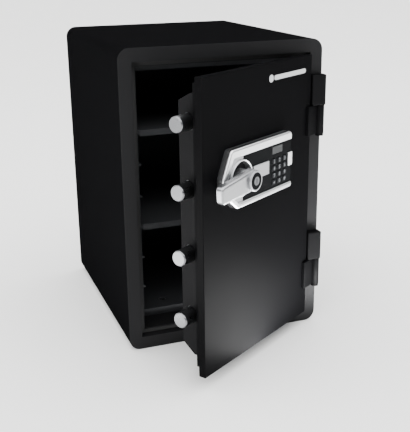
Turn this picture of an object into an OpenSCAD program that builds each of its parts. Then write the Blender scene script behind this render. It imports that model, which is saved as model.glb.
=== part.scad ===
// Fire-resistant steel safe with an electronic lock, a lever handle and four
// round locking bolts. Millimetres, +Z up, the door is on the -Y side.
// The origin is on the underside, at the middle of the cabinet's base.
// Door pieces are written with the door shut, then swung open by door_rest.

/* [Cabinet] */
// Outside width
body_w = 480; // [440:5:560]
// Outside depth
body_d = 560; // [480:10:640]
// Outside height
body_h = 700; // [660:5:800]
// Radius of the four long edges
edge_r = 26; // [10:1:40]
// Width of the front frame strip around the door
strip_w = 30; // [26:1:36]
// Sheet thickness of the outer shell
shell_t = 1.5; // [1:0.5:2]
// Wall thickness from the outside to the storage space
wall_t = 60; // [56:1:70]
// Depth of the wall behind the storage space
back_t = 63; // [50:1:80]

/* [Shelves] */
// Height of the lowest shelf rib
rib_z = 120; // [100:5:140]
// Distance from one shelf rib to the next
rib_pitch = 76; // [60:2:80]
// Sheet thickness of a shelf
shelf_t = 2; // [1.5:0.5:3]

/* [Door] */
// How far the door stands open at rest
door_rest = 33; // [0:1:75]
// Gap between the door and the frame
door_gap = 3; // [2.5:0.5:4]
// Thickness of the front plate
plate_t = 16; // [12:1:18]
// Depth of the step behind the front plate
step_t = 16; // [12:1:18]
// Depth of the cover over the boltwork
cover_t = 48; // [46:1:52]

/* [Bolts] */
// Diameter of a locking bolt
bolt_d = 34; // [28:1:36]
// Distance from one bolt to the next
bolt_pitch = 138; // [120:2:140]
// Travel of the bolts
bolt_travel = 34; // [34:1:36]

/* [Lock] */
// Length of the lever from its pivot
lever_len = 108; // [100:1:110]
// Height of the lever at its free end
lever_h = 37; // [30:1:40]
// Height of a key on the keypad
key_h = 10.5; // [9:0.5:11]

/* [Anchors] */
// Radius of a floor anchor hole
anchor_r = 6.5; // [5:0.5:8]
// Distance between the anchor holes from side to side
anchor_x = 240; // [180:10:260]
// Distance between the anchor holes from front to back
anchor_y = 300; // [200:10:320]

/* [Hidden] */
$fn = 64;
e = 0.01;
front = -body_d / 2;
open_x = body_w / 2 - strip_w;
throat_x = open_x - 12;
room_x = body_w / 2 - wall_t;
mid_z = body_h / 2;
open_hz = body_h / 2 - strip_w;
throat_hz = open_hz - 12;
room_hz = body_h / 2 - wall_t;
ledge_v = 20;
throat_v = 84;
room_v = body_d - back_t;
sheet = 2;
liner_t = 3;
plate_x = open_x - door_gap;
plate_hz = open_hz - door_gap;
step_x = plate_x - 14;
step_hz = plate_hz - 14;
cover_x = step_x - 7;
cover_hz = step_hz - 22;
step_v = plate_t + step_t;
cover_v = step_v + cover_t;
cover_wall = 2.5;
cover_taper = 9;
cover_xs = [-100, 130];
hinge_x = body_w / 2 - 6;
hinge_y = front - 10;
barrel_r = 9.5;
pin_r = 6;
bush_r = 8;
knuckle_l = 67.5;
block_l = 70;
hinge_zs = [mid_z - 180, mid_z + 200];
bolt_v = step_v + 20;
bolt_r = bolt_d / 2;
bolt_tip = -open_x - 13;
bolt_tail = -body_w / 2 + 88;
guide_x = 11 - cover_x;
bolt_zs = [for (i = [-1.5:1:1.5]) mid_z + 17 + i * bolt_pitch];
hub_x = -95;
hub_z = mid_z + 99;
shaft_r = 8;
crank_r = bolt_travel;
crank_a = 240;
crank_pin_r = 4;
crank_v = step_v + 18;
arm_v = step_v + 28;
panel_h = 15;
bezel_h = 17.5;
well_r = 36;
lever_droop = 5;
lever_back = 29;
lever_front = 46;
hub_h = 51;
cylinder_r = 18;
cylinder_h = 33;
key_w = 14;
key_cols = [123, 144, 165];
key_rows = [9.5, -6.1, -21.7, -37.3];
plunger_x = hub_x + 15;
plunger_z = hub_z - 51;
screw_ab = [[-22, 56], [106, 56], [-20, -48], [156, -56]];
cable_x = 40;
cable_z = hub_z + 13;
cable_v = step_v + 5;

// ---- helpers ----

// swings a shut door piece to its rest angle
module on_door() {
    translate([hinge_x, hinge_y, 0]) rotate([0, 0, door_rest])
        translate([-hinge_x, -hinge_y, 0]) children();
}

// extrudes an outline drawn in X and Z from depth v0 to v1 behind the front face
module slab(v0, v1) {
    translate([0, front + v1, 0]) rotate([90, 0, 0]) linear_extrude(v1 - v0) children();
}

// centred outline of half width hx and half height hz
module rect2(hx, hz) {
    translate([-hx, mid_z - hz]) square([2 * hx, 2 * hz]);
}

// the same outline with round corners, made of squares and circles
module round2(hx, hz, r) {
    rect2(hx, hz - r);
    rect2(hx - r, hz);
    for (x = [r - hx, hx - r], z = [mid_z - hz + r, mid_z + hz - r])
        translate([x, z]) circle(r);
}

// outline of the cabinet, inset by t
module body2(t) {
    round2(body_w / 2 - t, body_h / 2 - t, edge_r - t);
}

// rod along Y at x, z from depth v0 to v1
module rod_y(x, z, r, v0, v1) {
    translate([x, front + v0, z]) rotate([-90, 0, 0]) cylinder(h = v1 - v0, r = r);
}

// rod along X at depth v and height z from x0 to x1
module rod_x(v, z, r, x0, x1) {
    translate([x0, front + v, z]) rotate([0, 90, 0]) cylinder(h = x1 - x0, r = r);
}

// box from x0, x1, v0, v1, z0, z1
module box(x0, x1, v0, v1, z0, z1) {
    translate([x0, front + v0, z0]) cube([x1 - x0, v1 - v0, z1 - z0]);
}

// slab standing off the door's face, with its outline drawn round the lever's pivot
module face_slab(h0, h1) {
    slab(-h1, -h0) translate([hub_x, hub_z]) children();
}

// anchor hole positions
module at_anchors() {
    for (x = [-anchor_x / 2, anchor_x / 2], y = [-anchor_y / 2, anchor_y / 2])
        translate([x, y, 0]) children();
}

// ---- cabinet ----

module body_shell() {
    color("#161616") difference() {
        slab(2.5, body_d) difference() {
            body2(0);
            body2(shell_t);
        }
        at_anchors() translate([0, 0, -1]) cylinder(h = 10, r = 9);
    }
}

module back_panel() {
    color("#161616") slab(body_d - 5, body_d - 2) body2(shell_t);
}

module front_frame() {
    color("#2c2c2c") {
        difference() {
            union() {
                slab(0, 2.5) difference() {
                    body2(0);
                    rect2(open_x, open_hz);
                }
                slab(2.4, ledge_v + sheet) difference() {
                    rect2(open_x + sheet, open_hz + sheet);
                    rect2(open_x, open_hz);
                }
                slab(ledge_v, ledge_v + sheet) difference() {
                    rect2(open_x + sheet, open_hz + sheet);
                    rect2(throat_x, throat_hz);
                }
                slab(ledge_v, throat_v) difference() {
                    rect2(throat_x + sheet, throat_hz + sheet);
                    rect2(throat_x, throat_hz);
                }
            }
            for (z = bolt_zs) rod_x(bolt_v, z, bolt_r + 4.5, -throat_x - 5, -throat_x + 1);
        }
    }
}

module bolt_pockets() {
    color("#2c2c2c") for (z = bolt_zs) difference() {
        rod_x(bolt_v, z, bolt_r + 4.5, 8 - body_w / 2, -throat_x);
        rod_x(bolt_v, z, bolt_r + 2.5, 10 - body_w / 2, -throat_x + 1);
    }
}

module insulation() {
    color("#8f8a80") difference() {
        slab(2.5, body_d - 5) body2(shell_t);
        slab(-1, ledge_v + sheet) rect2(open_x + sheet, open_hz + sheet);
        slab(ledge_v, throat_v) rect2(throat_x + sheet, throat_hz + sheet);
        slab(throat_v - e, throat_v + liner_t) rect2(throat_x + sheet, throat_hz + sheet);
        slab(throat_v, room_v + liner_t) rect2(room_x + liner_t, room_hz + liner_t);
        for (z = bolt_zs) rod_x(bolt_v, z, bolt_r + 4.5, 8 - body_w / 2, -throat_x);
        at_anchors() translate([0, 0, -1]) cylinder(h = wall_t + 5, r = 9);
    }
}

module inner_liner() {
    color("#232426") difference() {
        union() {
            slab(throat_v, throat_v + liner_t) difference() {
                rect2(throat_x + sheet, throat_hz + sheet);
                rect2(room_x, room_hz);
            }
            slab(throat_v, room_v) difference() {
                rect2(room_x + liner_t, room_hz + liner_t);
                rect2(room_x, room_hz);
            }
            slab(room_v, room_v + liner_t) rect2(room_x + liner_t, room_hz + liner_t);
        }
        at_anchors() cylinder(h = wall_t + 5, r = 9);
    }
}

module shelf_ribs() {
    color("#232426") for (i = [0:5], s = [-1, 1]) {
        x = s * (room_x - 4);
        z = rib_z + i * rib_pitch;
        box(x - 4, x + 4, throat_v + 8, room_v, z - 5, z);
    }
}

module shelf(i) {
    z = rib_z + i * rib_pitch;
    color("#303134") {
        box(1 - room_x, room_x - 1, throat_v + 14, room_v - 12, z, z + shelf_t);
        box(9 - room_x, room_x - 9, throat_v + 14, throat_v + 16, z - 12, z + e);
        box(9 - room_x, room_x - 9, room_v - 14, room_v - 12, z - 12, z + e);
    }
}

module shelf_upper() { shelf(5); }

module shelf_lower() { shelf(2); }

module door_seal() {
    color("#3a3a3a") slab(ledge_v - 3, ledge_v) difference() {
        rect2(open_x - 2, open_hz - 2);
        rect2(open_x - 10, open_hz - 10);
    }
}

module anchor_sleeves() {
    color("#9a9c9e") at_anchors() difference() {
        cylinder(h = wall_t, r = 9);
        translate([0, 0, -1]) cylinder(h = wall_t + 2, r = anchor_r);
    }
}

module hinge_block(z) {
    color("#1c1c1c") difference() {
        box(hinge_x - 26, hinge_x + 9, -20, 0, z, z + block_l);
        translate([hinge_x, hinge_y, z - 1]) cylinder(h = block_l - 7, r = pin_r);
    }
}

module hinge_block_upper() { hinge_block(hinge_zs[1]); }

module hinge_block_lower() { hinge_block(hinge_zs[0]); }

module hinge_pins() {
    color("#55575a") for (z = hinge_zs) translate([hinge_x, hinge_y, z - knuckle_l - 5]) {
        cylinder(h = knuckle_l + block_l - 3, r = pin_r);
        cylinder(h = 4, r = barrel_r - 0.5);
    }
}

// ---- door ----

module door_skin() {
    color("#232323") on_door() difference() {
        slab(0, plate_t) rect2(plate_x, plate_hz);
        slab(sheet, plate_t + 1) rect2(plate_x - sheet, plate_hz - sheet);
        rod_y(hub_x, hub_z, 12, -1, plate_t);
        rod_y(cable_x, cable_z, 4, -1, plate_t);
        for (p = screw_ab) rod_y(hub_x + p[0], hub_z + p[1], 3, -1, plate_t);
    }
}

module door_pan() {
    color("#1d1d1d") on_door() difference() {
        union() {
            slab(plate_t - sheet, plate_t) rect2(plate_x - sheet, plate_hz - sheet);
            slab(plate_t - e, step_v) rect2(step_x, step_hz);
        }
        slab(plate_t - 3, step_v - sheet) rect2(step_x - sheet, step_hz - sheet);
        rod_y(hub_x, hub_z, 12, 0, step_v + 1);
        rod_y(cable_x, cable_z, 4, 0, step_v + 1);
        for (p = screw_ab) rod_y(hub_x + p[0], hub_z + p[1], 3, 0, step_v + 1);
    }
}

module door_insulation() {
    color("#8f8a80") on_door() difference() {
        union() {
            slab(sheet, plate_t - sheet) rect2(plate_x - sheet, plate_hz - sheet);
            slab(plate_t - sheet - e, step_v - sheet) rect2(step_x - sheet, step_hz - sheet);
        }
        rod_y(hub_x, hub_z, 12, 0, step_v);
        rod_y(cable_x, cable_z, 4, 0, step_v);
        for (p = screw_ab) rod_y(hub_x + p[0], hub_z + p[1], 3, 0, step_v);
    }
}

// tapered block standing on the door's rear step, inset by t
module taper_block(t) {
    x0 = cover_x - t;
    z0 = cover_hz - t;
    v1 = cover_v - t;
    intersection() {
        linear_extrude(body_h) polygon([[-x0, front + step_v - t], [x0, front + step_v - t],
            [x0, front + step_v + 12], [x0 - cover_taper, front + v1],
            [cover_taper - x0, front + v1], [-x0, front + step_v + 12]]);
        translate([-body_w / 2, 0, 0]) rotate([90, 0, 90]) linear_extrude(body_w)
            polygon([[front + step_v - t, mid_z - z0], [front + step_v - t, mid_z + z0],
            [front + step_v + 12, mid_z + z0], [front + v1, mid_z + z0 - 2 * cover_taper],
            [front + v1, mid_z - z0 + 2 * cover_taper], [front + step_v + 12, mid_z - z0]]);
    }
}

module door_cover() {
    color("#1b1b1c") on_door() difference() {
        taper_block(0);
        taper_block(cover_wall);
        for (z = bolt_zs) rod_x(bolt_v, z, bolt_r + 1.5, -cover_x - 5, -cover_x + 15);
        for (x = cover_xs, z = [-240, 0, 240]) rod_y(x, mid_z + z, 2.5, step_v, cover_v + 1);
    }
}

module cover_screws() {
    color("#6d6f72") on_door() for (x = cover_xs, z = [-240, 0, 240]) {
        rod_y(x, mid_z + z, 2.4, step_v, cover_v);
        rod_y(x, mid_z + z, 5, cover_v, cover_v + 2.5);
    }
}

module bolt_guide() {
    color("#7a7d80") on_door() difference() {
        union() {
            box(guide_x, guide_x + 6, step_v, cover_v - 8, bolt_zs[0] - 25, bolt_zs[3] + 25);
            box(guide_x, guide_x + 30, step_v, step_v + 2.5, bolt_zs[0] - 25, bolt_zs[3] + 25);
        }
        for (z = bolt_zs) rod_x(bolt_v, z, bolt_r + 0.06, guide_x - 1, guide_x + 7);
    }
}

module hinge_leaf(z) {
    color("#1c1c1c") on_door() translate([0, 0, z - 0.5 - knuckle_l]) difference() {
        linear_extrude(knuckle_l) {
            translate([hinge_x, hinge_y]) circle(barrel_r);
            polygon([[plate_x - 19, front], [plate_x - 1, front], [plate_x - 1, front - 1],
                [hinge_x - 2, front - 1], [hinge_x - 2, front - 7], [plate_x - 19, front - 7]]);
        }
        translate([hinge_x, hinge_y, -1]) cylinder(h = knuckle_l + 2, r = bush_r);
    }
}

module hinge_leaf_upper() { hinge_leaf(hinge_zs[1]); }

module hinge_leaf_lower() { hinge_leaf(hinge_zs[0]); }

module hinge_bushes() {
    color("#b08d45") for (z = hinge_zs) translate([hinge_x, hinge_y, z - 0.5 - knuckle_l])
        difference() {
            cylinder(h = knuckle_l, r = bush_r);
            translate([0, 0, -1]) cylinder(h = knuckle_l + 2, r = pin_r + 0.06);
        }
}

// ---- lock on the door's face ----

// outer edge of the lock, drawn round the lever's pivot
module lock2() {
    polygon([[-37, 65], [187, 65], [193, 57], [193, -56], [187, -62], [-17, -62],
        [-45, -40], [-65, -4], [-65, 10]]);
}

// window of the dark face panel
module panel2() {
    difference() {
        polygon([[9, 46], [193, 46], [193, -50], [7, -50]]);
        circle(well_r + 3);
    }
}

module shaft_bush() {
    color("#2b2b2b") on_door() difference() {
        union() {
            rod_y(hub_x, hub_z, 12, 0, step_v);
            rod_y(hub_x, hub_z, well_r - 0.5, -3, 0);
        }
        rod_y(hub_x, hub_z, shaft_r + 0.06, -4, step_v + 1);
    }
}

module lock_bezel() {
    color("#d8d9da") on_door() difference() {
        union() {
            face_slab(0, 14) lock2();
            face_slab(0, bezel_h) difference() {
                lock2();
                polygon([[-29, 46], [200, 46], [200, -50], [-11, -50], [-33, -33], [-49, -2],
                    [-49, 8]]);
            }
        }
        face_slab(-1, 20) panel2();
        face_slab(-1, 20) circle(well_r + 3);
        for (p = screw_ab) rod_y(hub_x + p[0], hub_z + p[1], 2.5, -9, 0);
    }
}

module dial_ring() {
    color("#c9cacc") on_door() face_slab(0, bezel_h + 0.5) difference() {
        circle(well_r + 3);
        circle(well_r);
    }
}

module face_panel() {
    color("#242527") on_door() difference() {
        union() {
            face_slab(panel_h - 2, panel_h) panel2();
            face_slab(0, panel_h) translate([190, -50]) square([3, 96]);
        }
        face_slab(5, 20) translate([117, 25.5]) square([40, 16]);
        for (a = key_cols, b = key_rows) face_slab(5, 20)
            translate([a - key_w / 2 - 0.5, b - key_h / 2 - 0.5]) square([key_w + 1, key_h + 1]);
    }
}

module display_window() {
    color("#7d8083") on_door() face_slab(panel_h - 2, panel_h + 0.3)
        translate([117, 25.5]) square([40, 16]);
}

module display_module() {
    color("#3f4a44") on_door() face_slab(6.6, panel_h - 2)
        translate([118, 26.5]) square([38, 14]);
}

module trim_plate() {
    color("#c4c6c8") on_door() face_slab(panel_h, panel_h + 2)
        polygon([[43, 16], [102, 16], [102, -13], [55, -13], [43, -4]]);
}

module end_clip() {
    color("#d4d5d6") on_door() {
        face_slab(panel_h, panel_h + 2.5) translate([179, -12]) square([14, 30]);
        face_slab(3, panel_h + 2.5) translate([193, -12]) square([2, 30]);
    }
}

module circuit_board() {
    color("#2f5a3c") on_door() face_slab(5, 6.6) translate([105, -49]) square([84, 94]);
}

module battery_tray() {
    color("#2e2f31") on_door() difference() {
        face_slab(0.2, 8) translate([50, -1]) square([50, 46]);
        face_slab(1.2, 9) translate([51.2, 0.2]) square([47.6, 43.6]);
    }
}

module batteries() {
    color("#6b6f55") on_door() for (i = [0:3])
        translate([hub_x + 52.6, front - 6.6, hub_z + 5.8 + i * 10.8]) rotate([0, 90, 0]) {
            cylinder(h = 43.2, r = 5.2);
            cylinder(h = 44.4, r = 1.9);
        }
}

module lock_cable() {
    x1 = plunger_x + 13;
    z1 = plunger_z - 26;
    color("#a33a2c") on_door() {
        rod_y(cable_x, cable_z, 2, -5, cable_v);
        translate([cable_x, front + cable_v, cable_z]) sphere(2);
        translate([cable_x, front + cable_v, z1]) cylinder(h = cable_z - z1, r = 2);
        translate([cable_x, front + cable_v, z1]) sphere(2);
        rod_x(cable_v, z1, 2, x1, cable_x);
    }
}

module solenoid() {
    color("#4a4d50") on_door() difference() {
        box(plunger_x - 12, plunger_x + 13, step_v, step_v + 40, plunger_z - 46, plunger_z - 6);
        translate([plunger_x, front + arm_v + 2, plunger_z - 38]) cylinder(h = 50, r = 4.06);
    }
}

module lock_screws() {
    color("#6d6f72") on_door() for (p = screw_ab) {
        rod_y(hub_x + p[0], hub_z + p[1], 2.4, -8, step_v);
        rod_y(hub_x + p[0], hub_z + p[1], 5, step_v, step_v + 2.5);
    }
}

module badge() {
    color("#d9d9d9") on_door() slab(-1, 0) {
        translate([54, mid_z + 279]) square([120, 10]);
        translate([54, mid_z + 284]) circle(5);
        translate([174, mid_z + 284]) circle(5);
        translate([37, mid_z + 284]) circle(8);
    }
}

module key(i) {
    a = key_cols[i % 3];
    b = key_rows[floor(i / 3)];
    color("#3a3c3f") on_door() {
        face_slab(9.5, panel_h + 2)
            translate([a - key_w / 2, b - key_h / 2]) square([key_w, key_h]);
        face_slab(8.5, 11)
            translate([a - key_w / 2 - 0.9, b - key_h / 2 - 0.9]) square([key_w + 1.8, key_h + 1.8]);
    }
}

// ---- boltwork ----

module bolts() {
    color("#c8cacc") on_door() for (z = bolt_zs) difference() {
        union() {
            rod_x(bolt_v, z, bolt_r, bolt_tip + 1.5, bolt_tail);
            translate([bolt_tip, front + bolt_v, z]) rotate([0, 90, 0])
                cylinder(h = 1.5 + e, r1 = bolt_r - 1.5, r2 = bolt_r);
        }
        rod_x(bolt_v, z, 4.05, bolt_tail - 20, bolt_tail + 1);
    }
}

module bolt_bar() {
    pin_x = hub_x + crank_r * cos(crank_a);
    pin_z = hub_z + crank_r * sin(crank_a);
    color("#8a8d90") on_door() difference() {
        union() {
            box(bolt_tail, bolt_tail + 5, bolt_v - 16, bolt_v + 16, bolt_zs[0] - 20, bolt_zs[3] + 20);
            box(bolt_tail + 4, hub_x + 40, arm_v, arm_v + 4, plunger_z + 2, pin_z + 16);
        }
        for (z = bolt_zs) rod_x(bolt_v, z, 4.05, bolt_tail - 1, bolt_tail + 6);
        box(pin_x - 4.7, pin_x + 4.7, arm_v - 1, arm_v + 5, pin_z - 9.5, pin_z + 5);
        box(plunger_x - 4.7, plunger_x + 4.7, arm_v - 1, arm_v + 5, plunger_z, plunger_z + 9);
    }
}

module bolt_screws() {
    color("#6d6f72") on_door() for (z = bolt_zs) {
        rod_x(bolt_v, z, 4, bolt_tail - 19, bolt_tail + 5);
        rod_x(bolt_v, z, 7, bolt_tail + 5, bolt_tail + 9);
    }
}

// ---- handle ----

module lever() {
    color("#cfd0d2") on_door() difference() {
        union() {
            face_slab(lever_back, lever_front) rotate(lever_droop) {
                circle(23);
                polygon([[0, 22.5], [8 - lever_len, lever_h / 2], [-lever_len, lever_h / 2 - 8],
                    [-lever_len, 8 - lever_h / 2], [8 - lever_len, -lever_h / 2], [0, -22.5]]);
                for (s = [-1, 1])
                    translate([8 - lever_len, s * (lever_h / 2 - 8)]) circle(8);
            }
            face_slab(5, lever_back + 1) circle(20);
            face_slab(lever_front - 1, hub_h) circle(22);
        }
        face_slab(cylinder_h, 60) circle(cylinder_r);
        face_slab(0, cylinder_h + 1) circle(shaft_r);
    }
}

module handle_shaft() {
    color("#9b9da0") on_door() {
        rod_y(hub_x, hub_z, shaft_r, -cylinder_h, crank_v + 6);
        slab(crank_v, crank_v + 6) translate([hub_x, hub_z]) rotate(crank_a) {
            circle(13);
            translate([0, -8]) square([crank_r, 16]);
            translate([crank_r, 0]) circle(8);
        }
        rod_y(hub_x + crank_r * cos(crank_a), hub_z + crank_r * sin(crank_a),
            crank_pin_r, crank_v, arm_v + 6);
    }
}

module shaft_clip() {
    color("#85888b") on_door() difference() {
        rod_y(hub_x, hub_z, 12, step_v + 0.5, step_v + 2.5);
        rod_y(hub_x, hub_z, shaft_r, step_v, step_v + 3);
    }
}

module lock_cylinder() {
    color("#2a2b2c") on_door() difference() {
        face_slab(cylinder_h, hub_h + 1) circle(cylinder_r);
        face_slab(cylinder_h + 3, 60) circle(9.06);
    }
}

module key_core() {
    color("#c2c4c6") on_door() difference() {
        face_slab(cylinder_h + 3.5, hub_h + 2) circle(9);
        face_slab(hub_h - 6, 60) translate([-1.5, -6]) square([3, 12]);
    }
}

module plunger() {
    color("#a9abad") on_door() translate([plunger_x, front + arm_v + 2, plunger_z - 32])
        cylinder(h = 32, r = 4);
}

// ---- assembly ----

body_shell();
back_panel();
front_frame();
bolt_pockets();
insulation();
inner_liner();
shelf_ribs();
shelf_upper();
shelf_lower();
door_seal();
anchor_sleeves();
hinge_block_upper();
hinge_block_lower();
hinge_pins();
door_skin();
door_pan();
door_insulation();
door_cover();
cover_screws();
bolt_guide();
hinge_leaf_upper();
hinge_leaf_lower();
hinge_bushes();
shaft_bush();
lock_bezel();
dial_ring();
face_panel();
display_window();
display_module();
trim_plate();
end_clip();
circuit_board();
battery_tray();
batteries();
lock_cable();
solenoid();
lock_screws();
badge();
key(0);  // key_1
key(1);  // key_2
key(2);  // key_3
key(3);  // key_4
key(4);  // key_5
key(5);  // key_6
key(6);  // key_7
key(7);  // key_8
key(8);  // key_9
key(9);  // key_star
key(10);  // key_0
key(11);  // key_hash
bolts();
bolt_bar();
bolt_screws();
lever();
handle_shaft();
shaft_clip();
lock_cylinder();
key_core();
plunger();
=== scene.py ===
import math

import bmesh
import bpy
from mathutils import Matrix, Vector


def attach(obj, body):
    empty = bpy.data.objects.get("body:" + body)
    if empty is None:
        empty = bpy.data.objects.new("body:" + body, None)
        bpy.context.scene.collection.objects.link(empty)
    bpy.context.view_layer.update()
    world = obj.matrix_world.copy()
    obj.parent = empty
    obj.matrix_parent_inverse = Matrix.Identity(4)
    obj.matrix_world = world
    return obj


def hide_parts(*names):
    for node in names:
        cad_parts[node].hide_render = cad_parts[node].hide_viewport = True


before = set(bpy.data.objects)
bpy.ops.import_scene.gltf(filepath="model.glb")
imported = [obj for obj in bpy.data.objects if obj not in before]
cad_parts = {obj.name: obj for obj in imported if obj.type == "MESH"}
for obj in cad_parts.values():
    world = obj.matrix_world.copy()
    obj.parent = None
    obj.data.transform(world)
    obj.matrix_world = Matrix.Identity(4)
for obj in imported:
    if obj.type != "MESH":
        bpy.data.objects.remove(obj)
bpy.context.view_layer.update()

# ---- Camera -------------------------------------------------------------
# A standing viewer's eye, a little left of the open door and above the safe,
# looking down at it through a fairly long lens.
EYE = (-0.649, -1.941, 0.892)
camera = bpy.data.objects.new("camera", bpy.data.cameras.new("camera"))
bpy.context.collection.objects.link(camera)
bpy.context.scene.camera = camera
turn, tilt, roll = math.radians(19.84), math.radians(18.24), math.radians(-0.75)
ahead = Vector((math.sin(turn) * math.cos(tilt), math.cos(turn) * math.cos(tilt), -math.sin(tilt)))
level = Vector((math.cos(turn), -math.sin(turn), 0))
above = level.cross(ahead)
right = math.cos(roll) * level + math.sin(roll) * above
upward = math.cos(roll) * above - math.sin(roll) * level
camera.matrix_world = Matrix((
    (right.x, upward.x, -ahead.x, EYE[0]),
    (right.y, upward.y, -ahead.y, EYE[1]),
    (right.z, upward.z, -ahead.z, EYE[2]),
    (0, 0, 0, 1)))
camera.data.sensor_width = 36
camera.data.lens = 67.15
camera.data.clip_end = 60


# ---- Room ---------------------------------------------------------------
# A seamless pale sweep under and behind the safe, one wide soft lamp overhead,
# a soft fill from the left and two panels at floor level, which the door's face
# and the left ends of the plated parts mirror.
def to_linear(hex_colour):
    """sRGB hex to the linear colour that shaders take."""
    parts = [int(hex_colour[i:i + 2], 16) / 255 for i in (1, 3, 5)]
    return [*(c / 12.92 if c < 0.04045 else ((c + 0.055) / 1.055) ** 2.4 for c in parts), 1]


def add(tree, kind, settings=None, links=None):
    """Adds one node, sets its properties and sockets, and links sockets to other nodes' outputs."""
    node = tree.nodes.new(kind)
    for key, value in (settings or {}).items():
        if isinstance(key, str) and hasattr(node, key):
            setattr(node, key, value)
        else:
            node.inputs[key].default_value = value
    for key, (source, output) in (links or {}).items():
        tree.links.new(source.outputs[output], node.inputs[key])
    return node


def empty_material(name):
    """A material with no nodes in it yet."""
    material = bpy.data.materials.new(name)
    material.use_nodes = True
    material.node_tree.nodes.clear()
    return material, material.node_tree


def finished(tree, surface):
    add(tree, "ShaderNodeOutputMaterial", links={"Surface": (surface, 0)})


pale_sweep, tree = empty_material("matt_white_paper_sweep")
finished(tree, add(tree, "ShaderNodeBsdfDiffuse", {"Color": to_linear("#F7F7F6")}))

REACH, COVE_Y, COVE_R, WALL_TOP = 14, 2.5, 1.5, 9
BELOW_SAFE = 0.0005
bm = bmesh.new()
cove = [(COVE_Y + COVE_R * math.sin(a), COVE_R - COVE_R * math.cos(a))
        for a in [math.radians(9 * i) for i in range(11)]]
profile = [(-REACH, 0), *cove, (COVE_Y + COVE_R, WALL_TOP)]
rows = [[bm.verts.new((x, y, z - BELOW_SAFE)) for y, z in profile] for x in (-REACH, REACH)]
for i in range(len(profile) - 1):
    bm.faces.new((rows[0][i], rows[1][i], rows[1][i + 1], rows[0][i + 1]))
sweep_mesh = bpy.data.meshes.new("sweep")
bm.to_mesh(sweep_mesh)
bm.free()
sweep_mesh.shade_smooth()
sweep_mesh.materials.append(pale_sweep)
sweep = bpy.data.objects.new("sweep", sweep_mesh)
bpy.context.collection.objects.link(sweep)

world = bpy.data.worlds.new("studio")
bpy.context.scene.world = world
world.use_nodes = True
world.node_tree.nodes["Background"].inputs["Color"].default_value = to_linear("#DADCDF")
world.node_tree.nodes["Background"].inputs["Strength"].default_value = 0.35


def lamp(name, kind, energy, place, target, size=None, spread=None):
    """A soft lamp at place, turned towards target."""
    light = bpy.data.lights.new(name, kind)
    light.energy = energy
    if kind == "AREA":
        light.shape, light.size, light.size_y = "RECTANGLE", *size
        light.spread = math.radians(spread or 180)
    else:
        light.angle = math.radians(spread)
    holder = bpy.data.objects.new(name, light)
    bpy.context.collection.objects.link(holder)
    holder.location = place
    holder.rotation_euler = (Vector(target) - Vector(place)).to_track_quat("-Z", "Y").to_euler()
    holder.visible_camera = False


lamp("overhead", "SUN", 9.0, (0, -1, 6), (0, -0.4, 0), spread=110)
lamp("door_glow", "AREA", 13, (0.3, -0.485, 0.004), (0.3, -0.485, 1), size=(0.55, 0.16))
lamp("left_glow", "AREA", 15, (-1.0, -0.45, 0.004), (-1.0, -0.45, 1), size=(0.9, 0.8))
lamp("left_fill", "AREA", 12, (-2.3, -1.9, 0.9), (0, -0.3, 0.35), size=(0.9, 1.4))


# ---- Cabinet shell ------------------------------------------------------
# A wrapped steel outer case with four rounded long edges and a set-in back
# sheet, sprayed with a fine black powder coat and baked.
def skin(node, material):
    """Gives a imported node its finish."""
    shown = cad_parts[node]
    shown.data.materials.clear()
    shown.data.materials.append(material)


def dull_black(tree, sheen, links, colour=None):
    """A black coat with a slight even sheen, which rises less at a glancing angle than bare
    plastic would."""
    base = add(tree, "ShaderNodeBsdfPrincipled", {"Specular IOR Level": 0.0, "Roughness": 0.9})
    if colour:
        base.inputs["Base Color"].default_value = to_linear(colour)
    gloss = add(tree, "ShaderNodeBsdfAnisotropic", {"Color": (0.9, 0.9, 0.9, 1)})
    for key, (source, output) in links.items():
        for shader in (base, gloss):
            if key in shader.inputs and (shader, key) != (base, "Roughness"):
                tree.links.new(source.outputs[output], shader.inputs[key])
    finished(tree, add(tree, "ShaderNodeMixShader", {0: sheen}, {1: (base, 0), 2: (gloss, 0)}))


# Baked powder: nearly black, dull, with a faint orange peel. The grain of real
# powder is under a millimetre; it is drawn at 3 mm so that it shows.
case_powder, tree = empty_material("black_powder_coat")
place = add(tree, "ShaderNodeTexCoord")
peel = add(tree, "ShaderNodeTexNoise", {"Scale": 330, "Detail": 3, "Roughness": 0.55},
           {"Vector": (place, "Object")})
cloud = add(tree, "ShaderNodeTexNoise", {"Scale": 9, "Detail": 2}, {"Vector": (place, "Object")})
dull = add(tree, "ShaderNodeMapRange", {"To Min": 0.5, "To Max": 0.62}, {"Value": (cloud, 0)})
tone = add(tree, "ShaderNodeValToRGB", links={"Fac": (peel, 0)})
tone.color_ramp.elements[0].position, tone.color_ramp.elements[1].position = 0.35, 0.75
tone.color_ramp.elements[0].color = to_linear("#050506")
tone.color_ramp.elements[1].color = to_linear("#0C0C0D")
relief = add(tree, "ShaderNodeBump", {"Strength": 0.25, "Distance": 0.0004}, {"Height": (peel, 0)})
dull_black(tree, 0.002, {"Base Color": (tone, 0), "Roughness": (dull, 0), "Normal": (relief, 0)})
for node in ("body_shell", "back_panel"):
    skin(node, case_powder)


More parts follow.
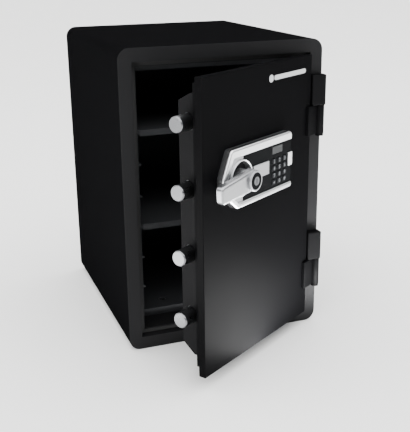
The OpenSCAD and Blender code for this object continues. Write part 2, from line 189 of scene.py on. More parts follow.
# ---- Front frame --------------------------------------------------------
# A folded steel door frame: a flat strip, a ledge for the door and a throat,
# welded into the case and painted a smoother satin black.
# Satin paint: a smoother, slightly greyer black, which sets the frame off from the case.
frame_paint, tree = empty_material("satin_black_paint")
place = add(tree, "ShaderNodeTexCoord")
cloud = add(tree, "ShaderNodeTexNoise", {"Scale": 14, "Detail": 3}, {"Vector": (place, "Object")})
fine = add(tree, "ShaderNodeTexNoise", {"Scale": 420, "Detail": 2}, {"Vector": (place, "Object")})
dull = add(tree, "ShaderNodeMapRange", {"To Min": 0.36, "To Max": 0.48}, {"Value": (cloud, 0)})
relief = add(tree, "ShaderNodeBump", {"Strength": 0.12, "Distance": 0.0002}, {"Height": (fine, 0)})
dull_black(tree, 0.009, {"Roughness": (dull, 0), "Normal": (relief, 0)}, "#1A1A1B")
skin("front_frame", frame_paint)


# ---- Plated small steel parts -------------------------------------------
# Bolt pockets, anchor sleeves, screws, the bolt guide and bar, the lever's shaft
# and the solenoid: pressed and turned steel, zinc plated for the works inside.
# Zinc: a pale grey metal whose patchy crystals break up its shine.
zinc_plate, tree = empty_material("zinc_plated_steel")
place = add(tree, "ShaderNodeTexCoord")
spangle = add(tree, "ShaderNodeTexVoronoi", {"Scale": 160}, {"Vector": (place, "Object")})
dull = add(tree, "ShaderNodeMapRange", {"To Min": 0.3, "To Max": 0.48}, {"Value": (spangle, 0)})
finished(tree, add(tree, "ShaderNodeBsdfPrincipled",
                   {"Base Color": to_linear("#A9ABAE"), "Metallic": 1.0}, {"Roughness": (dull, 0)}))
for node in ("bolt_pockets", "anchor_sleeves", "bolt_guide", "bolt_bar",
             "bolt_screws", "solenoid", "lock_screws", "handle_shaft", "shaft_clip", "plunger"):
    skin(node, zinc_plate)


# ---- Fire fill ----------------------------------------------------------
# Mineral slurry poured between case and liner and inside the door, set hard.
# It is sealed in; the open pores show only if a shell piece is lifted off.
# Set mineral: matt and sandy, with open pores.
fire_fill, tree = empty_material("cast_mineral_fill")
place = add(tree, "ShaderNodeTexCoord")
pores = add(tree, "ShaderNodeTexNoise", {"Scale": 260, "Detail": 6}, {"Vector": (place, "Object")})
tone = add(tree, "ShaderNodeValToRGB", links={"Fac": (pores, 0)})
tone.color_ramp.elements[0].color = to_linear("#7C776C")
tone.color_ramp.elements[1].color = to_linear("#B5B0A4")
relief = add(tree, "ShaderNodeBump", {"Strength": 0.5, "Distance": 0.001}, {"Height": (pores, 0)})
finished(tree, add(tree, "ShaderNodeBsdfPrincipled", {"Roughness": 0.92},
                   {"Base Color": (tone, 0), "Normal": (relief, 0)}))
for node in ("insulation", "door_insulation"):
    skin(node, fire_fill)


# ---- Liner, ribs and shelves --------------------------------------------
# A vacuum-formed plastic tub with shelf ribs down both sides; two folded
# sheet shelves rest on the ribs.
# Grained plastic: a soft dark grey with no sharp shine.
liner_plastic, tree = empty_material("grained_black_abs")
place = add(tree, "ShaderNodeTexCoord")
grain = add(tree, "ShaderNodeTexNoise", {"Scale": 520, "Detail": 2}, {"Vector": (place, "Object")})
cloud = add(tree, "ShaderNodeTexNoise", {"Scale": 7, "Detail": 2}, {"Vector": (place, "Object")})
dull = add(tree, "ShaderNodeMapRange", {"To Min": 0.42, "To Max": 0.58}, {"Value": (cloud, 0)})
relief = add(tree, "ShaderNodeBump", {"Strength": 0.2, "Distance": 0.0002}, {"Height": (grain, 0)})
dull_black(tree, 0.02, {"Roughness": (dull, 0), "Normal": (relief, 0)}, "#2E2F31")
for node in ("inner_liner", "shelf_ribs"):
    skin(node, liner_plastic)

# Shelf paint: a little lighter and smoother than the liner, so each shelf reads as a thin edge.
shelf_paint, tree = empty_material("grey_shelf_paint")
place = add(tree, "ShaderNodeTexCoord")
cloud = add(tree, "ShaderNodeTexNoise", {"Scale": 20, "Detail": 3}, {"Vector": (place, "Object")})
dull = add(tree, "ShaderNodeMapRange", {"To Min": 0.35, "To Max": 0.5}, {"Value": (cloud, 0)})
dull_black(tree, 0.03, {"Roughness": (dull, 0)}, "#333436")
for node in ("shelf_upper", "shelf_lower"):
    skin(node, shelf_paint)

# Swelling strip: dead matt and crumbly.
seal_rubber, tree = empty_material("intumescent_strip")
place = add(tree, "ShaderNodeTexCoord")
crumb = add(tree, "ShaderNodeTexNoise", {"Scale": 700, "Detail": 2}, {"Vector": (place, "Object")})
relief = add(tree, "ShaderNodeBump", {"Strength": 0.3, "Distance": 0.0002}, {"Height": (crumb, 0)})
finished(tree, add(tree, "ShaderNodeBsdfPrincipled",
                   {"Base Color": to_linear("#161616"), "Roughness": 0.85}, {"Normal": (relief, 0)}))
skin("door_seal", seal_rubber)


# ---- Door leaf ----------------------------------------------------------
# A front tray of thick folded sheet over a stepped rear pan, filled and
# spot-welded, with softly broken edges, in smooth satin black powder.
# Sizes are in mm, with the door shut: the plane of its face, the pin's axis and
# how far the door stands open.
FRONT, HINGE, OPEN = -280.0, Vector((234.0, -290.0, 0)), math.radians(33)
SWING = Matrix.Rotation(OPEN, 4, "Z")


def on_door(x, z, h):
    """A point of the shut door, h in front of its face, in mm, swung to where the door stands."""
    return (HINGE + SWING @ (Vector((x, FRONT - h, z)) - HINGE)) / 1000


def on_cabinet(x, z, h):
    """The same for a point that stays with the cabinet."""
    return Vector((x, FRONT - h, z)) / 1000


def outline(corners, inset=0.0, steps=5):
    """Anticlockwise outline through (x, z, corner radius), moved inwards by inset."""
    count = len(corners)
    sides = []
    for i, (x, z, _) in enumerate(corners):
        nx, nz, _ = corners[(i + 1) % count]
        run = math.hypot(nx - x, nz - z)
        ux, uz = (nx - x) / run, (nz - z) / run
        sides.append((x - uz * inset, z + ux * inset, ux, uz))
    points = []
    for i, (_, _, radius) in enumerate(corners):
        ax, az, aux, auz = sides[i - 1]
        bx, bz, bux, buz = sides[i]
        cross = aux * buz - auz * bux
        if abs(cross) < 1e-6:
            points.append((bx, bz))
            continue
        t = ((bx - ax) * buz - (bz - az) * bux) / cross
        px, pz = ax + aux * t, az + auz * t
        if radius == 0:
            points.append((px, pz))
            continue
        bend = math.atan2(cross, aux * bux + auz * buz)
        r = max(radius - inset, 0.15) if bend > 0 else radius + inset
        back = r * math.tan(abs(bend) / 2)
        side = 1 if bend > 0 else -1
        sx, sz = px - aux * back, pz - auz * back
        cx, cz = sx - auz * r * side, sz + aux * r * side
        for k in range(steps + 1):
            turned = bend * k / steps
            dx, dz = sx - cx, sz - cz
            points.append((cx + dx * math.cos(turned) - dz * math.sin(turned),
                           cz + dx * math.sin(turned) + dz * math.cos(turned)))
    return points


def box_corners(x0, x1, z0, z1, radius):
    return [(x0, z0, radius), (x1, z0, radius), (x1, z1, radius), (x0, z1, radius)]


def circle(cx, cz, r, count=64):
    return [(cx + r * math.cos(2 * math.pi * i / count),
             cz + r * math.sin(2 * math.pi * i / count)) for i in range(count)]


def rounded_edge(front, back, radius, back_radius=0.3, steps=4):
    """Edge profile from the front face to the back, as (inset, height) pairs."""
    arc = [math.pi / 2 * i / steps for i in range(steps + 1)]
    near = [(radius * (1 - math.sin(a)), front - radius * (1 - math.cos(a))) for a in arc]
    far = [(back_radius * (1 - math.cos(a)), back + back_radius * (1 - math.sin(a))) for a in arc]
    return [(radius * 1.6, front), *near, *far, (back_radius * 1.6, back)]


def loft(bm, loops, place):
    """Adds a closed solid. Each loop is (outline at an inset, edge profile, blind), the outer one
    first; the profiles run from the front cap to the back cap, and a blind one ends in its own floor."""
    caps = ([], [])
    for outline_at, profile, blind in loops:
        rings = [[bm.verts.new(place(x, z, h)) for x, z in outline_at(d)] for d, h in profile]
        for a, b in zip(rings, rings[1:]):
            for i in range(len(a)):
                j = (i + 1) % len(a)
                bm.faces.new((a[i], a[j], b[j], b[i]))
        edges = [[bm.edges.get((ring[i - 1], ring[i])) for i in range(len(ring))]
                 for ring in (rings[0], rings[-1])]
        caps[0].extend(edges[0])
        if blind:
            bmesh.ops.triangle_fill(bm, edges=edges[1], use_beauty=True)
        else:
            caps[1].extend(edges[1])
    for cap in caps:
        bmesh.ops.triangle_fill(bm, edges=cap, use_beauty=True)


def piece(name, bm, material, sharp=40):
    """Turns finished mesh data into a named object with smooth rounds and crisp folds."""
    bmesh.ops.recalc_face_normals(bm, faces=bm.faces)
    mesh = bpy.data.meshes.new(name)
    bm.to_mesh(mesh)
    bm.free()
    mesh.shade_smooth()
    mesh.set_sharp_from_angle(angle=math.radians(sharp))
    mesh.materials.append(material)
    made = bpy.data.objects.new(name, mesh)
    bpy.context.collection.objects.link(made)
    return made


def built(name, parts, place, material, body, nodes, second=None):
    """Makes one piece from its solids, rides it on its body and hides the imported parts it stands in
    for. The solids after the first take the second material, if there is one."""
    bm = bmesh.new()
    for i, loops in enumerate(parts):
        start = len(bm.faces)
        loft(bm, loops, place)
        for face in list(bm.faces)[start:]:
            face.material_index = 1 if i and second else 0
    made = piece(name, bm, material)
    if second:
        made.data.materials.append(second)
    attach(made, body)
    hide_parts(*nodes)
    return made


def solid(corners, front, back, radius, back_radius=0.3, holes=()):
    """A plate with rounded edges, and round holes (x, z, r) straight through it."""
    return [(lambda d: outline(corners, d), rounded_edge(front, back, radius, back_radius), False),
            *((lambda d, c=c: circle(*c), [(0, front), (0, back)], False) for c in holes)]


# Satin powder on the door: finer and smoother than the case, so that the floor
# and the panel show in it as a broad soft glow.
door_powder, tree = empty_material("satin_black_powder_coat")
place = add(tree, "ShaderNodeTexCoord")
peel = add(tree, "ShaderNodeTexNoise", {"Scale": 380, "Detail": 2}, {"Vector": (place, "Object")})
cloud = add(tree, "ShaderNodeTexNoise", {"Scale": 11, "Detail": 3}, {"Vector": (place, "Object")})
dull = add(tree, "ShaderNodeMapRange", {"To Min": 0.36, "To Max": 0.46}, {"Value": (cloud, 0)})
relief = add(tree, "ShaderNodeBump", {"Strength": 0.12, "Distance": 0.0002}, {"Height": (peel, 0)})
dull_black(tree, 0.0035, {"Roughness": (dull, 0), "Normal": (relief, 0)}, "#070708")

# The lever's axis, the cable's way through, and the lock screws measured from the axis.
HUB, CABLE = Vector((-95.0, 449.0)), (40, 462)
SCREWS = [(-22, 56), (106, 56), (-20, -48), (156, -56)]
HALF_W, LOW, HIGH, CORNER_R = 207, 33, 667, 2.5
SHEET, TRAY_DEPTH = 2.0, 16
SHAFT_HOLE_R, CABLE_HOLE_R, SCREW_HOLE_R = 12, 4, 3
door_corners = box_corners(-HALF_W, HALF_W, LOW, HIGH, CORNER_R)
tray_edge = [*rounded_edge(0, -TRAY_DEPTH, 1.4), (SHEET, -TRAY_DEPTH), (SHEET, -SHEET)]
skin_holes = [(HUB.x, HUB.y, SHAFT_HOLE_R), (*CABLE, CABLE_HOLE_R),
              *((HUB.x + a, HUB.y + b, SCREW_HOLE_R) for a, b in SCREWS)]
built("door_front", [[(lambda d: outline(door_corners, d), tray_edge, False),
                      *((lambda d, c=c: circle(*c, 32), [(0, 0), (0, -SHEET)], False)
                        for c in skin_holes)]],
      on_door, door_powder, "door", ["door_skin"])
skin("door_pan", door_powder)
skin("cover_screws", zinc_plate)

# Textured cover: a fine leathery grain, duller than the painted door.
cover_plastic, tree = empty_material("textured_black_cover")
place = add(tree, "ShaderNodeTexCoord")
grain = add(tree, "ShaderNodeTexNoise", {"Scale": 450, "Detail": 2}, {"Vector": (place, "Object")})
dull = add(tree, "ShaderNodeMapRange", {"To Min": 0.45, "To Max": 0.6}, {"Value": (grain, 0)})
relief = add(tree, "ShaderNodeBump", {"Strength": 0.2, "Distance": 0.0002}, {"Height": (grain, 0)})
dull_black(tree, 0.006, {"Roughness": (dull, 0), "Normal": (relief, 0)}, "#121213")
skin("door_cover", cover_plastic)
skin("shaft_bush", cover_plastic)


# ---- Hinges -------------------------------------------------------------
# Two lift-off hinges: a forged block welded on the frame carries a fixed pin,
# and a barrel with a strap, welded on the door, turns on it in a bronze bush.
# Enamel over a forged skin: black with a low uneven sheen.
hinge_paint, tree = empty_material("black_hinge_enamel")
place = add(tree, "ShaderNodeTexCoord")
cast = add(tree, "ShaderNodeTexNoise", {"Scale": 240, "Detail": 3}, {"Vector": (place, "Object")})
dull = add(tree, "ShaderNodeMapRange", {"To Min": 0.3, "To Max": 0.5}, {"Value": (cast, 0)})
relief = add(tree, "ShaderNodeBump", {"Strength": 0.2, "Distance": 0.0003}, {"Height": (cast, 0)})
dull_black(tree, 0.004, {"Roughness": (dull, 0), "Normal": (relief, 0)}, "#0B0B0C")


def on_plan(turned):
    """Places an outline drawn from above, in X and Y, at height h."""
    def place_plan(x, y, h):
        point = Vector((x, y, h))
        return (HINGE + SWING @ (point - HINGE) if turned else point) / 1000
    return place_plan


BLOCK_LEFT, BLOCK_RIGHT, BLOCK_L, BLOCK_DEEP = 208, 243, 70, 20
BARREL_R, BORE_R, BARREL_L, BARREL_GAP = 9.5, 8.0, 67.5, 0.5
STRAP_END, STRAP_Y, STEP_X, STEP_Y = 188, -287, 206, -281
for label, base in (("lower", 170.0), ("upper", 550.0)):
    block = box_corners(BLOCK_LEFT, BLOCK_RIGHT, base, base + BLOCK_L, 2.0)
    built(f"hinge_block_{label}_forged", [solid(block, BLOCK_DEEP, 0, 2.2)], on_cabinet, hinge_paint,
          "cabinet", [f"hinge_block_{label}"])
    barrel = [(HINGE.x + BARREL_R * math.cos(a), HINGE.y + BARREL_R * math.sin(a), 0)
              for a in [math.radians(-160 + 10 * i) for i in range(30)]]
    leaf = [(STRAP_END, STRAP_Y, 0.8), (225.0, STRAP_Y, 0), *barrel, (224, STEP_Y, 0),
            (STEP_X, STEP_Y, 0), (STEP_X, FRONT, 0), (STRAP_END, FRONT, 0.3)]
    top = base - BARREL_GAP
    bottom = top - BARREL_L
    built(f"hinge_leaf_{label}_forged",
          [[(lambda d, c=leaf: outline(c, d), rounded_edge(top, bottom, 1.0, 1.0, 2), False),
            (lambda d: circle(HINGE.x, HINGE.y, BORE_R), [(0, top), (0, bottom)], False)]],
          on_plan(True), hinge_paint, "door", [f"hinge_leaf_{label}"])

# Bronze: a thin warm ring where the barrel turns on the block.
bush_bronze, tree = empty_material("turned_bronze")
place = add(tree, "ShaderNodeTexCoord")
rings = add(tree, "ShaderNodeTexNoise", {"Scale": 600}, {"Vector": (place, "Object")})
dull = add(tree, "ShaderNodeMapRange", {"To Min": 0.25, "To Max": 0.4}, {"Value": (rings, 0)})
finished(tree, add(tree, "ShaderNodeBsdfPrincipled",
                   {"Base Color": to_linear("#B0874A"), "Metallic": 1.0}, {"Roughness": (dull, 0)}))
skin("hinge_bushes", bush_bronze)
skin("hinge_pins", hinge_paint)


# ---- Locking bolts ------------------------------------------------------
# Four turned steel bolts, bright chrome plated, with a small lead-in chamfer.
# They are one shape repeated up the door's free edge.
def repeated(name, start, count, step, material):
    """Repeats a piece's mesh along a straight line with Geometry Nodes and bakes the result."""
    tree = bpy.data.node_groups.new(name + "_row", "GeometryNodeTree")
    face = tree.interface
    face.new_socket("Geometry", in_out="INPUT", socket_type="NodeSocketGeometry")
    sockets = {title: face.new_socket(title, in_out="INPUT", socket_type=kind).identifier
               for title, kind in (("Count", "NodeSocketInt"), ("Step", "NodeSocketVector"),
                                   ("Finish", "NodeSocketMaterial"))}
    face.new_socket("Geometry", in_out="OUTPUT", socket_type="NodeSocketGeometry")
    given = add(tree, "NodeGroupInput")
    line = add(tree, "GeometryNodeMeshLine", {"mode": "OFFSET"},
               {"Count": (given, "Count"), "Offset": (given, "Step")})
    row = add(tree, "GeometryNodeInstanceOnPoints", links={"Points": (line, 0), "Instance": (given, 0)})
    real = add(tree, "GeometryNodeRealizeInstances", links={"Geometry": (row, 0)})
    coated = add(tree, "GeometryNodeSetMaterial",
                 links={"Geometry": (real, 0), "Material": (given, "Finish")})
    add(tree, "NodeGroupOutput", links={"Geometry": (coated, 0)})
    modifier = start.modifiers.new("row", "NODES")
    modifier.node_group = tree
    modifier[sockets["Count"]] = count
    modifier[sockets["Step"]] = step
    modifier[sockets["Finish"]] = material
    shown = start.evaluated_get(bpy.context.evaluated_depsgraph_get())
    mesh = bpy.data.meshes.new_from_object(shown)
    bpy.data.objects.remove(start)
    made = bpy.data.objects.new(name, mesh)
    bpy.context.collection.objects.link(made)
    return made


# Hard chrome: a near mirror, with the faint rings that turning leaves.
bolt_chrome, tree = empty_material("hard_chrome")
place = add(tree, "ShaderNodeTexCoord")
lathe = add(tree, "ShaderNodeTexNoise", {"Scale": 90, "Detail": 2}, {"Vector": (place, "Object")})
dull = add(tree, "ShaderNodeMapRange", {"To Min": 0.24, "To Max": 0.34}, {"Value": (lathe, 0)})
finished(tree, add(tree, "ShaderNodeBsdfPrincipled",
                   {"Base Color": to_linear("#77787A"), "Metallic": 1.0}, {"Roughness": (dull, 0)}))

BOLT_R, TIP, TAIL, BOLT_H = 17.0, -223.0, -152.0, -52.0
STUD_R, STUD_L, BOLT_COUNT, LOWEST_BOLT, BOLT_PITCH = 4.05, 20, 4, 160, 0.138
turned = [(TIP, 0.0), (TIP, 13.5), (TIP, 14.7), (TIP + 0.5, 15.3), (TIP + 1.7, 16.4),
          (TIP + 2.6, 16.9), (TIP + 4.0, BOLT_R), (TAIL, BOLT_R), (TAIL, STUD_R),
          (TAIL - STUD_L, STUD_R), (TAIL - STUD_L, 0.0)]


def turned_along_x(bm, profile, z, h, place, count=64):
    """A closed turned piece about the X line at height z and depth h, from (x, radius) pairs."""
    rings = []
    for x, r in profile:
        if r == 0:
            rings.append([bm.verts.new(place(x, z, h))])
        else:
            rings.append([bm.verts.new(place(x, z + r * math.sin(t), h + r * math.cos(t)))
                          for t in [2 * math.pi * i / count for i in range(count)]])
    for a, b in zip(rings, rings[1:]):
        for i in range(count):
            j = (i + 1) % count
            if len(a) == 1:
                bm.faces.new((a[0], b[i], b[j]))
            elif len(b) == 1:
                bm.faces.new((a[i], a[j], b[0]))
            else:
                bm.faces.new((a[i], a[j], b[j], b[i]))


bm = bmesh.new()
turned_along_x(bm, turned, LOWEST_BOLT, BOLT_H, on_door)
first = piece("bolt", bm, bolt_chrome, 25)
bolts = repeated("bolts_turned", first, BOLT_COUNT, (0, 0, BOLT_PITCH), bolt_chrome)
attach(bolts, "boltwork")
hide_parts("bolts")


# ---- Lock bezel ---------------------------------------------------------
# A C-shaped casting round the keypad and the lever's dial, die cast and given
# a satin silver plate; a cushioned rim stands above a flat web.
WEB_H, RIM_H, RIM_BACK = 14, 18.5, 8
RING_R, WELL_R, RING_H = 39, 36, 18
FACE_H, FACE_BACK = 15, 13


def from_hub(corners):
    """Corners measured from the lever's axis."""
    return [(HUB.x + a, HUB.y + b, r) for a, b, r in corners]


# Satin silver plate, shaded copy: the same plating as the rims, made greyer as painted shade on the
# broad flat web, the trim plate and the lever.
plating_shade_copy, tree = empty_material("plating_painted_shade")
place = add(tree, "ShaderNodeTexCoord")
frost = add(tree, "ShaderNodeTexNoise", {"Scale": 700, "Detail": 2}, {"Vector": (place, "Object")})
dull = add(tree, "ShaderNodeMapRange", {"To Min": 0.3, "To Max": 0.42}, {"Value": (frost, 0)})
finished(tree, add(tree, "ShaderNodeBsdfPrincipled",
                   {"Base Color": to_linear("#A3A4A6"), "Metallic": 1.0}, {"Roughness": (dull, 0)}))

# Satin silver plate, lit copy: the same plating made near white as a painted highlight on the rim, the
# dial ring and the end clip; lightly frosted, so lamps spread into wide bands.
plating_highlight_copy, tree = empty_material("plating_painted_highlight")
place = add(tree, "ShaderNodeTexCoord")
frost = add(tree, "ShaderNodeTexNoise", {"Scale": 900, "Detail": 2}, {"Vector": (place, "Object")})
cloud = add(tree, "ShaderNodeTexNoise", {"Scale": 30, "Detail": 2}, {"Vector": (place, "Object")})
dull = add(tree, "ShaderNodeMapRange", {"To Min": 0.26, "To Max": 0.36}, {"Value": (cloud, 0)})
relief = add(tree, "ShaderNodeBump", {"Strength": 0.08, "Distance": 0.0001}, {"Height": (frost, 0)})
finished(tree, add(tree, "ShaderNodeBsdfPrincipled",
                   {"Base Color": to_linear("#F0F1F2"), "Metallic": 1.0},
                   {"Roughness": (dull, 0), "Normal": (relief, 0)}))


def well_edge(first, last, count):
    """Part of the round cut-out for the lever's dial, between two angles in degrees."""
    radius = RING_R + 0.2
    return [(radius * math.cos(a), radius * math.sin(a), 0)
            for a in [math.radians(first + (last - first) * i / count) for i in range(count + 1)]]


edge = [(-17, -62, 9), (193, -62, 6), (193, -50, 1)]
back_edge = [(193, 46, 1), (193, 65, 10), (-37, 65, 9), (-65, 10, 14), (-65, -4, 14), (-45, -40, 9)]
web = from_hub([*edge, (7, -50, 1), *well_edge(-79.5, -283.5, 20), (9, 46, 1), *back_edge])
rim = from_hub([*edge, (-11, -50, 4), (-33, -33, 6), (-49, -2, 8), (-49, 8, 8), (-29, 46, 6),
                *back_edge])
# The web takes the greyer copy and the rim the near-white copy of one plating: painted shade on the flat
# web, painted highlight on the rim.
built("lock_bezel_cast", [solid(web, WEB_H, 0, 0.8), solid(rim, RIM_H, RIM_BACK, 4.2, 0.2)],
      on_door, plating_shade_copy, "door", ["lock_bezel"], plating_highlight_copy)

ring_edge = rounded_edge(RING_H, 0, 1.2)
# The dial ring takes the near-white copy of the plating: a painted highlight.
built("dial_ring_turned",
      [[(lambda d: circle(*HUB, RING_R - d, 96), ring_edge, False),
        (lambda d: circle(*HUB, WELL_R + d, 96), ring_edge, False)]],
      on_door, plating_highlight_copy, "door", ["dial_ring"])
trim = from_hub([(43, -4, 1), (55, -13, 1), (102, -13, 1), (102, 16, 1), (43, 16, 1)])
# The trim plate takes the greyer copy of the plating: painted shade.
built("trim_plate_pressed", [solid(trim, FACE_H + 2, FACE_H, 0.8)], on_door, plating_shade_copy,
      "door", ["trim_plate"])
# The end clip takes the near-white copy of the plating: a painted highlight.
built("end_clip_pressed",
      [solid(from_hub(box_corners(179, 195, -12, 18, 1.5)), FACE_H + 2.5, FACE_H, 0.8),
       solid(from_hub(box_corners(193, 195, -12, 18, 0.6)), 16.5, 3, 0.4)],
      on_door, plating_highlight_copy, "door", ["end_clip"])


# ---- Keypad and display -------------------------------------------------
# A dark moulded face with a window for the display and twelve keys, each a
# separate cap with a printed figure, over a circuit board and a battery tray.
# Moulded face: a flat charcoal that makes the silver rim stand out.
panel_plastic, tree = empty_material("dark_moulded_face")
place = add(tree, "ShaderNodeTexCoord")
grain = add(tree, "ShaderNodeTexNoise", {"Scale": 800, "Detail": 2}, {"Vector": (place, "Object")})
dull = add(tree, "ShaderNodeMapRange", {"To Min": 0.4, "To Max": 0.55}, {"Value": (grain, 0)})
dull_black(tree, 0.006, {"Roughness": (dull, 0)}, "#0E0F10")
for node in ("battery_tray", "lock_cylinder"):
    skin(node, panel_plastic)

COLUMNS, ROWS = (123, 144, 165), (9.5, -6.1, -21.7, -37.3)
KEY_W, KEY_TALL, KEY_TOP = 14, 10.5, 17
HOLE_GAP, FLANGE = 0.5, 0.9


def key_corners(a, b, grow, radius):
    """A key's outline about its middle, grown on every side."""
    wide, tall = KEY_W / 2 + grow, KEY_TALL / 2 + grow
    return from_hub(box_corners(a - wide, a + wide, b - tall, b + tall, radius))


face = from_hub([(7, -50, 0), (193, -50, 0.5), (193, 46, 0.5), (9, 46, 0),
                 *well_edge(76.5, -79.5, 16)])
window = from_hub(box_corners(117, 157, 25.5, 41.5, 1.0))
keyholes = [key_corners(a, b, HOLE_GAP, 2.0) for a in COLUMNS for b in ROWS]
face_holes = [(lambda d, c=c: outline(c, -d), rounded_edge(FACE_H, FACE_BACK, 0.3), False)
              for c in (window, *keyholes)]
built("face_panel_moulded",
      [[(lambda d: outline(face, d), rounded_edge(FACE_H, FACE_BACK, 0.3), False), *face_holes],
       solid(from_hub(box_corners(190, 193, -49.9, 45.9, 0.5)), 13.1, 0, 0.3)],
      on_door, panel_plastic, "door", ["face_panel"])

# Display window: smooth grey plastic, faintly uneven, so it differs from the face round it.
display_glass, tree = empty_material("grey_display_glass")
place = add(tree, "ShaderNodeTexCoord")
haze = add(tree, "ShaderNodeTexNoise", {"Scale": 60, "Detail": 1}, {"Vector": (place, "Object")})
tone = add(tree, "ShaderNodeValToRGB", links={"Fac": (haze, 0)})
tone.color_ramp.elements[0].color = to_linear("#1E2021")
tone.color_ramp.elements[1].color = to_linear("#2B2D2E")
finished(tree, add(tree, "ShaderNodeBsdfPrincipled", {"Roughness": 0.3, "Specular IOR Level": 0.2},
                   {"Base Color": (tone, 0)}))
built("display_window_moulded", [solid(window, FACE_H + 0.3, FACE_BACK, 0.4)], on_door, display_glass,
      "door", ["display_window"])
skin("display_module", display_glass)

# Key caps: a shade lighter than the face, so that each key shows.
key_plastic, tree = empty_material("moulded_key_cap")
place = add(tree, "ShaderNodeTexCoord")
grain = add(tree, "ShaderNodeTexNoise", {"Scale": 900, "Detail": 2}, {"Vector": (place, "Object")})
dull = add(tree, "ShaderNodeMapRange", {"To Min": 0.35, "To Max": 0.5}, {"Value": (grain, 0)})
dull_black(tree, 0.014, {"Roughness": (dull, 0)}, "#1A1B1D")

# Printed ink: a dull pale grey on the caps.
ink, tree = empty_material("pale_screen_ink")
place = add(tree, "ShaderNodeTexCoord")
print_grain = add(tree, "ShaderNodeTexNoise", {"Scale": 1500}, {"Vector": (place, "Object")})
dull = add(tree, "ShaderNodeMapRange", {"To Min": 0.5, "To Max": 0.7}, {"Value": (print_grain, 0)})
finished(tree, add(tree, "ShaderNodeBsdfPrincipled",
                   {"Base Color": to_linear("#5E6062"), "Specular IOR Level": 0.2},
                   {"Roughness": (dull, 0)}))

FIGURES = ["1", "2", "3", "4", "5", "6", "7", "8", "9", "star", "0", "hash"]
for i, figure in enumerate(FIGURES):
    a, b = COLUMNS[i % 3], ROWS[i // 3]
    bm = bmesh.new()
    loft(bm, solid(key_corners(a, b, 0, 2.0), KEY_TOP, 9.5, 1.0), on_door)
    loft(bm, solid(key_corners(a, b, FLANGE, 0.5), 11, 8.5, 0.2), on_door)
    cap = piece(f"key_cap_{figure}", bm, key_plastic)
    words = bpy.data.curves.new("figure", "FONT")
    words.body = {"star": "*", "hash": "#"}.get(figure, figure)
    words.size, words.extrude, words.resolution_u = 11.5, 0.05, 3
    words.offset = 0.25
    words.align_x, words.align_y = "CENTER", "CENTER"
    words_object = bpy.data.objects.new("figure", words)
    bpy.context.collection.objects.link(words_object)
    bpy.context.view_layer.update()
    mesh = bpy.data.meshes.new_from_object(
        words_object.evaluated_get(bpy.context.evaluated_depsgraph_get()))
    bpy.data.objects.remove(words_object)
    heights = [v.co.y for v in mesh.vertices]
    middle = (max(heights) + min(heights)) / 2
    for v in mesh.vertices:
        v.co = on_door(HUB.x + a + v.co.x, HUB.y + b + v.co.y - middle, KEY_TOP + 0.03 + v.co.z)
    mesh.materials.clear()
    mesh.materials.append(ink)
    printed = bpy.data.objects.new(f"key_figure_{figure}", mesh)
    bpy.context.collection.objects.link(printed)
    for made in (cap, printed):
        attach(made, f"key_{figure}_body")
    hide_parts(f"key_{figure}")


# ---- Electronics inside -------------------------------------------------
# A green circuit board, four cells and a cable, all small bought-in parts shut in
# behind the face; the plain badge is stuck on the door above them.
# Solder mask: glossy green with paler tracks.
board_green, tree = empty_material("green_solder_mask")
place = add(tree, "ShaderNodeTexCoord")
tracks = add(tree, "ShaderNodeTexBrick", {"Scale": 220}, {"Vector": (place, "Object")})
tone = add(tree, "ShaderNodeMix", {"data_type": "RGBA", "A": to_linear("#1E5A34"),
                                   "B": to_linear("#2C7A48")}, {"Factor": (tracks, "Fac")})
finished(tree, add(tree, "ShaderNodeBsdfPrincipled", {"Roughness": 0.35}, {"Base Color": (tone, 2)}))
skin("circuit_board", board_green)

# Cell wrap: a thin glossy film with a metallic tint.
cell_wrap, tree = empty_material("printed_cell_wrap")
place = add(tree, "ShaderNodeTexCoord")
print_grain = add(tree, "ShaderNodeTexNoise", {"Scale": 200}, {"Vector": (place, "Object")})
dull = add(tree, "ShaderNodeMapRange", {"To Min": 0.25, "To Max": 0.4}, {"Value": (print_grain, 0)})
finished(tree, add(tree, "ShaderNodeBsdfPrincipled",
                   {"Base Color": to_linear("#6B6F55"), "Metallic": 0.6}, {"Roughness": (dull, 0)}))
skin("batteries", cell_wrap)

# Cable sheath: waxy red plastic.
cable_sheath, tree = empty_material("red_cable_sheath")
place = add(tree, "ShaderNodeTexCoord")
waxy = add(tree, "ShaderNodeTexNoise", {"Scale": 300}, {"Vector": (place, "Object")})
dull = add(tree, "ShaderNodeMapRange", {"To Min": 0.4, "To Max": 0.55}, {"Value": (waxy, 0)})
finished(tree, add(tree, "ShaderNodeBsdfPrincipled", {"Base Color": to_linear("#A33A2C")},
                   {"Roughness": (dull, 0)}))
skin("lock_cable", cable_sheath)

# Badge: a pale even bar that stands out from the black door.
badge_metal, tree = empty_material("pale_anodised_badge")
place = add(tree, "ShaderNodeTexCoord")
brush = add(tree, "ShaderNodeTexNoise", {"Scale": 500, "Detail": 2}, {"Vector": (place, "Object")})
dull = add(tree, "ShaderNodeMapRange", {"To Min": 0.3, "To Max": 0.45}, {"Value": (brush, 0)})
finished(tree, add(tree, "ShaderNodeBsdfPrincipled", {"Base Color": to_linear("#B0B1B2")},
                   {"Roughness": (dull, 0)}))
skin("badge", badge_metal)


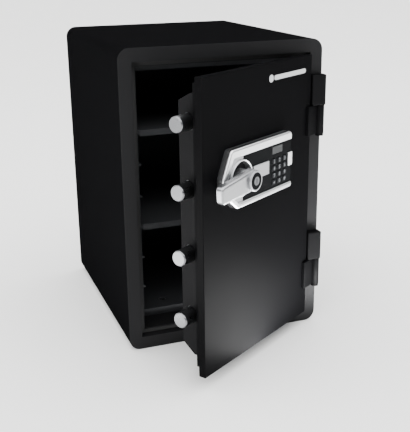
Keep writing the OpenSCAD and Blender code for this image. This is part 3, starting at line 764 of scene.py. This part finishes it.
# ---- Lever handle -------------------------------------------------------
# A broad die-cast lever on a round neck, satin silver plated, with the key
# lock for the override set in its hub.
DROOP = Matrix.Rotation(math.radians(5), 2)
ROOT_R, LEVER_L, LEVER_HALF_W = 23, 108, 18.5
LEVER_FRONT, LEVER_BACK = 46, 29
NECK_R, NECK_FRONT, NECK_BACK, SHAFT_R = 20, 30, 5, 8.0
BOSS_R, BOSS_FRONT, BOSS_BACK = 22, 52, 45
CYLINDER_R, CYLINDER_FLOOR = 18.0, 33.2
root = [(ROOT_R * math.cos(a), ROOT_R * math.sin(a), 0)
        for a in [math.radians(-80 + 16 * i) for i in range(11)]]
paddle = from_hub([(*(DROOP @ Vector((a, b))), r)
                   for a, b, r in [*root, (-LEVER_L, LEVER_HALF_W, 9), (-LEVER_L, -LEVER_HALF_W, 9)]])
neck = [(lambda d: circle(*HUB, NECK_R - d), rounded_edge(NECK_FRONT, NECK_BACK, 0.3, 1.0), False),
        (lambda d: circle(*HUB, SHAFT_R), [(0, NECK_FRONT), (0, NECK_BACK)], False)]
boss = [(lambda d: circle(*HUB, BOSS_R - d), rounded_edge(BOSS_FRONT, BOSS_BACK, 1.8, 0.2), False),
        (lambda d: circle(*HUB, CYLINDER_R + d), rounded_edge(BOSS_FRONT, BOSS_BACK, 0.5, 0.1),
         False)]
blade = [(lambda d: outline(paddle, d, 8), rounded_edge(LEVER_FRONT, LEVER_BACK, 5.5, 3.0, 6), False),
         (lambda d: circle(*HUB, CYLINDER_R), [(0, LEVER_FRONT), (0, CYLINDER_FLOOR)], True)]
# The lever takes the greyer copy of the plating: painted shade on its broad face.
built("lever_cast", [blade, boss, neck], on_door, plating_shade_copy, "handle", ["lever"])

# Lock core: dark worn steel, dull round the keyway.
core_metal, tree = empty_material("worn_steel_core")
place = add(tree, "ShaderNodeTexCoord")
wear = add(tree, "ShaderNodeTexNoise", {"Scale": 400, "Detail": 3}, {"Vector": (place, "Object")})
dull = add(tree, "ShaderNodeMapRange", {"To Min": 0.25, "To Max": 0.45}, {"Value": (wear, 0)})
finished(tree, add(tree, "ShaderNodeBsdfPrincipled",
                   {"Base Color": to_linear("#6A6B6D"), "Metallic": 1.0}, {"Roughness": (dull, 0)}))
skin("key_core", core_metal)
